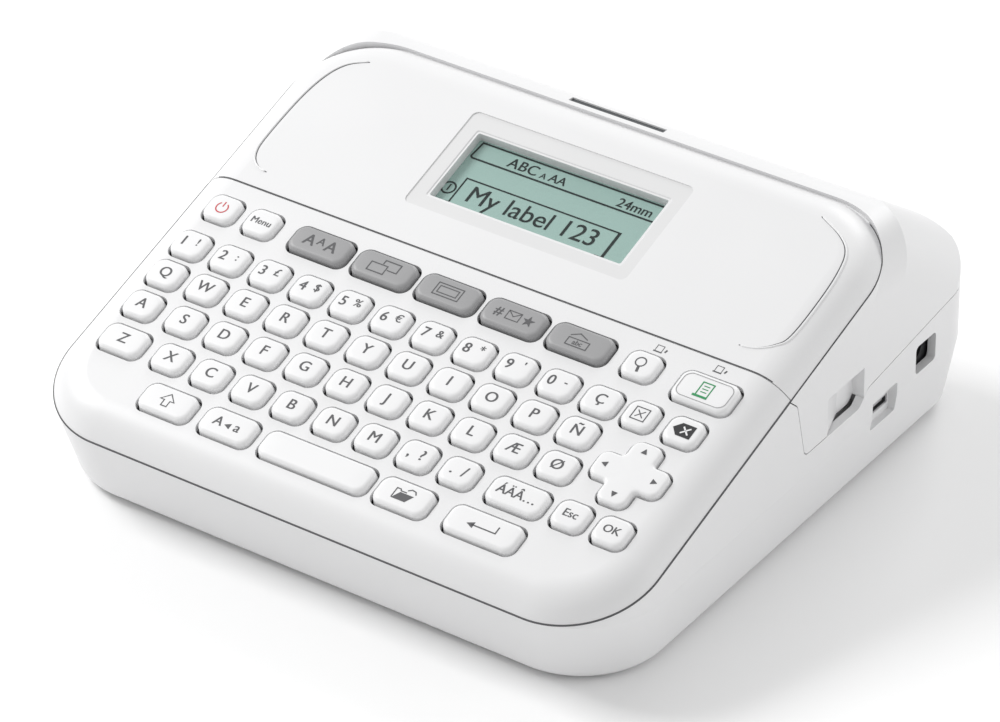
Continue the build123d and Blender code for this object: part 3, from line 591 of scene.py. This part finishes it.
legend("symbol_key", [lettering("#", 4.2, u - 4.6, v, over_cap), filled(star, u + 4.7, v, over_cap),
                      stroke(envelope, 0.28, u, v, over_cap, closed=True),
                      stroke(envelope_flap, 0.28, u, v, over_cap)])
u, v, _ = plain_keys["label_key"]
sheet = [(-3.4, -2.2), (3.0, -2.2), (3.0, 0.2), (-3.4, 0.2)]
legend("label_key", [stroke(sheet, 0.3, u, v, over_cap, closed=True),
                     stroke([(-3.4, 0.9), (-1.0, 2.2), (1.8, 1.0)], 0.3, u, v, over_cap),
                     lettering("abc", 2.2, u - 0.2, v - 1.0, over_cap)])
# Two small page signs are printed on the cover above the search and print keys.
over_cover = crown + print_height
parts = []
for u, v in ((57.0, 85.6), (75.0, 86.0)):
    page = [(-1.0, -0.9), (1.0, -0.9), (1.0, 1.1), (-1.0, 1.1)]
    parts.append(stroke(page, 0.22, u, v, over_cover, closed=True))
    parts.append(stroke([(-1.4, -1.0), (1.2, -1.0)], 0.4, u, v, over_cover + 0.005))
    parts.append(stroke([(1.9, -0.6), (2.2, 0.4)], 0.5, u, v, over_cover))
cover_signs = add_piece("cover_signs", *join(parts), ink, "case", smooth=False)

# An arrow on each arm of the four-way key points outwards.
wedge = np.array([(-0.9, -0.75), (0.9, -0.75), (0, 0.95)])
arrow_reach = 7.5
parts = []
for angle in np.arange(4) * np.pi / 2:
    spin = np.array([[np.cos(angle), np.sin(angle)], [-np.sin(angle), np.cos(angle)]])
    parts.append(filled((wedge + (0, arrow_reach)) @ spin, cursor_u, cursor_v, over_cap))
legend("cursor_key", parts)


# ---------------------------------------------------------------- display
# A liquid-crystal panel behind a clear window, in a pale frame let into the cover.
bezel_u, bezel_v, bezel_width, bezel_depth = 0.0, 119.4, 71.6, 36.0
screen_u, screen_v, screen_width, screen_depth = 0.3, 118.8, 61.6, 24.4


def liquid_crystal(wire):
    """Grey-green panel: a slow drift of tint and the fine grid of its dots."""
    spot = wire.node("TexCoord", output=3)
    grid = wire.node("TexChecker", None, {"Vector": spot, "Scale": 2400.0}, output=1)
    drift = speckle(wire, 0.02)
    colour = drift.mix((0.305, 0.455, 0.415), (0.345, 0.50, 0.46))
    return {"Base Color": (grid * 0.03).mix(colour, (0.2, 0.33, 0.29)), "Roughness": drift * 0.05 + 0.25}


dress(finish("liquid_crystal", liquid_crystal), "lcd_panel")
dress(finish("clear_window", lambda wire: {"Alpha": speckle(wire, 0.05) * 0.02 + 0.02},
             {"Base Color": (0.5, 0.55, 0.53, 1.0), "Roughness": 0.08}), "screen_window")
bezel_paint = finish("bezel", moulded((0.74, 0.74, 0.74), (0.71, 0.71, 0.715), 0.3))
outer = np.stack(rounded(bezel_width, bezel_depth, 1.9), -1) + (bezel_u, bezel_v)
middle = np.stack(rounded(screen_width + 1.6, screen_depth + 1.6, 0.9), -1) + (screen_u, screen_v)
inner = np.stack(rounded(screen_width, screen_depth, 0.5), -1) + (screen_u, screen_v)
lcd_top = 2.92
rings = [(outer, crown - 0.55), (outer, crown - 0.3), (middle, crown - 0.36), (inner, crown - 1.0),
         (inner, lcd_top)]
points = np.concatenate([on_panel(line[:, 0], line[:, 1], height) for line, height in rings])
faces = [face for face in ring_faces(len(rings), 40) if len(face) == 4]
bezel = add_piece("display_frame", points, faces, bezel_paint, "hood", smooth=False)

lcd_ink = finish("lcd_dots", moulded((0.01, 0.018, 0.018), (0.007, 0.012, 0.012), 0.6),
                 {"Specular IOR Level": 0.1})
over_lcd = lcd_top + print_height
parts = [stroke([(30.6, 11.5), (-29.4, 11.5), (-30.0, 6.2), (-29.4, 5.7), (30.6, 5.7)], 0.6,
                screen_u, screen_v, over_lcd),
         lettering("ABC", 4.8, screen_u - 14.2, screen_v + 8.3, over_lcd, 1.05),
         lettering("A", 2.8, screen_u - 7.4, screen_v + 7.7, over_lcd),
         lettering("AA", 4.0, screen_u - 2.9, screen_v + 8.1, over_lcd),
         lettering("24mm", 4.4, screen_u + 22.0, screen_v + 8.0, over_lcd),
         stroke([(-27.4, -10.5), (-26.3, -10.5), (-26.3, -1.2), (23.4, -1.2), (23.4, -10.5), (20.6, -10.5)],
                0.5, screen_u, screen_v, over_lcd),
         stroke([(23.2, -1.2), (23.2, -10.5)], 0.9, screen_u, screen_v, over_lcd + 0.005),
         lettering("My label 123", 8.2, screen_u - 2.0, screen_v - 5.9, over_lcd, 1.0, 0.006),
         stroke(arc(2.0, 0, 350), 0.55, screen_u - 29.2, screen_v - 6.0, over_lcd, closed=True),
         lettering("1", 3.4, screen_u - 29.2, screen_v - 6.0, over_lcd)]
dots = add_piece("lcd_text", *join(parts), lcd_ink, "hood", smooth=False)


# ---------------------------------------------------------------- seams
# The gap round the top covers, dark at the front and sides and closed by a white lip at the rear, and
# the gap between the keyboard cover and the hood, each run as a thin tube along its edge. The dark tubes are
# painted shadow, colour put in for the shade that falls down into the gaps.
# Dark grey painted shadow for the seam gaps, the cover gap and the step lines: the shade inside them, laid
# on as colour.
painted_seam_shadow = finish("seam_shadow", moulded((0.11, 0.11, 0.115), (0.08, 0.08, 0.085), 0.7))
seam_width, seam_length, seam_corner = 188.0, 152.5, 25.0
seam_sunk, cover_gap, lip_from = 0.12, 88.8, 148.5


def tube(path, radius, sides=8):
    """Circles square to an open path: each point plus a radius times a side vector and the upward one."""
    path = np.asarray(path, float)
    way = np.roll(path, -1, 0) - np.roll(path, 1, 0)
    way[0], way[-1] = path[1] - path[0], path[-1] - path[-2]
    way /= np.linalg.norm(way, axis=1)[:, None]
    lift = np.array([0.0, -np.sin(slope), np.cos(slope)])
    side = np.cross(way, lift)
    side /= np.linalg.norm(side, axis=1)[:, None]
    over = np.cross(side, way)
    turn = np.linspace(0, 2 * np.pi, sides, endpoint=False)
    circle = np.cos(turn)[:, None] * side[:, None] + np.sin(turn)[:, None] * over[:, None]
    points = path[:, None] + radius * circle
    row, step = np.meshgrid(np.arange(len(path) - 1), np.arange(sides), indexing="ij")
    a, b = row * sides + step, row * sides + (step + 1) % sides
    faces = np.stack([a, a + sides, b + sides, b], -1).reshape(-1, 4).tolist()
    last = (len(path) - 1) * sides
    faces += [tuple(range(sides)), tuple(last + i for i in reversed(range(sides)))]
    return points.reshape(-1, 3), faces


x, y = rounded(seam_width - 2 * seam_sunk, seam_length - 2 * seam_sunk, seam_corner, 160)
along = y + seam_length / 2
back_part = along > cover_gap
start = int(np.argmax(back_part & ~np.roll(back_part, 1)))
along = np.roll(along, -start)
loop = on_panel(np.roll(x, -start), along, 0.0)
split = int(back_part.sum())
first, last = np.flatnonzero(along > lip_from)[[0, -1]]
ends = on_panel([x.max(), x.min()], [cover_gap, cover_gap], 0.0)
runs = {"right_seam": (np.concatenate([ends[:1], loop[:first + 1]]), 0.24, painted_seam_shadow, "hood"),
        "rear_lip": (loop[first:last + 1], 0.5, white, "hood"),
        "left_seam": (np.concatenate([loop[last:split], ends[1:]]), 0.24, painted_seam_shadow, "hood"),
        "front_seam": (np.concatenate([ends[1:], loop[split:], ends[:1]]), 0.3, painted_seam_shadow, "case")}
for name, (run, radius, material, body) in runs.items():
    made = add_piece(name, *tube(run, radius * mm), material, body)

shell = frame["nodes"]["display_cover"].data
spots = np.empty(len(shell.vertices) * 3)
shell.vertices.foreach_get("co", spots)
cover_faces = [tuple(face.vertices) for face in shell.polygons]
cover_surface = BVHTree.FromPolygons(spots.reshape(-1, 3).tolist(), cover_faces)
clear_of_covers = 20.0


def settle(u, v, over):
    """Drops places on the panel onto the cover below them, square to the seam plane, then lifts them."""
    down = Vector((0.0, np.sin(slope), -np.cos(slope)))
    landed = []
    for start in on_panel(u, v, clear_of_covers):
        hit = cover_surface.ray_cast(Vector(start), down)[0]
        landed.append(np.array(hit if hit is not None else start))
    return np.array(landed) - over * mm * np.array(down)


across = np.linspace(-89.0, 89.0, 90)
gap_line = settle(across, np.full(len(across), cover_gap + 0.3), -0.02)
made = add_piece("cover_gap_shadow", *tube(gap_line, 0.17 * mm), painted_seam_shadow, "hood")


# ---------------------------------------------------------------- steps in the display cover
# A shallow step at each end of the display cover: a thin shadow line with a raised white rim outside
# it, which runs out where the step turns inwards.
right_line = [(66.0, 145.2), (71.9, 142.0), (79.5, 138.2), (83.8, 134.0), (85.6, 127.5), (86.2, 117.0),
              (85.8, 103.5), (83.6, 99.0), (79.5, 96.2), (74.5, 95.2), (68.0, 95.0)]
left_line = [(-68.0, 142.6), (-73.5, 140.7), (-79.0, 137.2), (-82.2, 131.0), (-83.9, 121.0), (-84.3, 106.0),
             (-83.4, 99.8), (-80.6, 96.2), (-76.0, 94.8), (-70.0, 94.5)]


def curve_through(line, steps=8):
    """A Catmull-Rom curve: each stretch is the cubic set by its two ends and their two neighbours."""
    line = np.asarray(line, float)
    t = np.linspace(0, 1, steps, endpoint=False)[:, None]
    runs = []
    for a, b, c, d in zip(line[:-3], line[1:-2], line[2:-1], line[3:]):
        runs.append(0.5 * (2 * b + (c - a) * t + (2 * a - 5 * b + 4 * c - d) * t ** 2
                           + (3 * b - a - 3 * c + d) * t ** 3))
    return np.concatenate(runs)


rim_offset = 0.55
for name, line in (("right_step", right_line), ("left_step", left_line)):
    run = curve_through(line)
    made = add_piece(name, *tube(settle(run[:, 0], run[:, 1], -0.08), 0.17 * mm), painted_seam_shadow, "hood")
    outward = np.sign(run[:, 0].mean())
    rim = settle(run[:, 0] + outward * rim_offset, run[:, 1], -0.12)
    made = add_piece(name + "_rim", *tube(rim, 0.36 * mm), white, "hood")
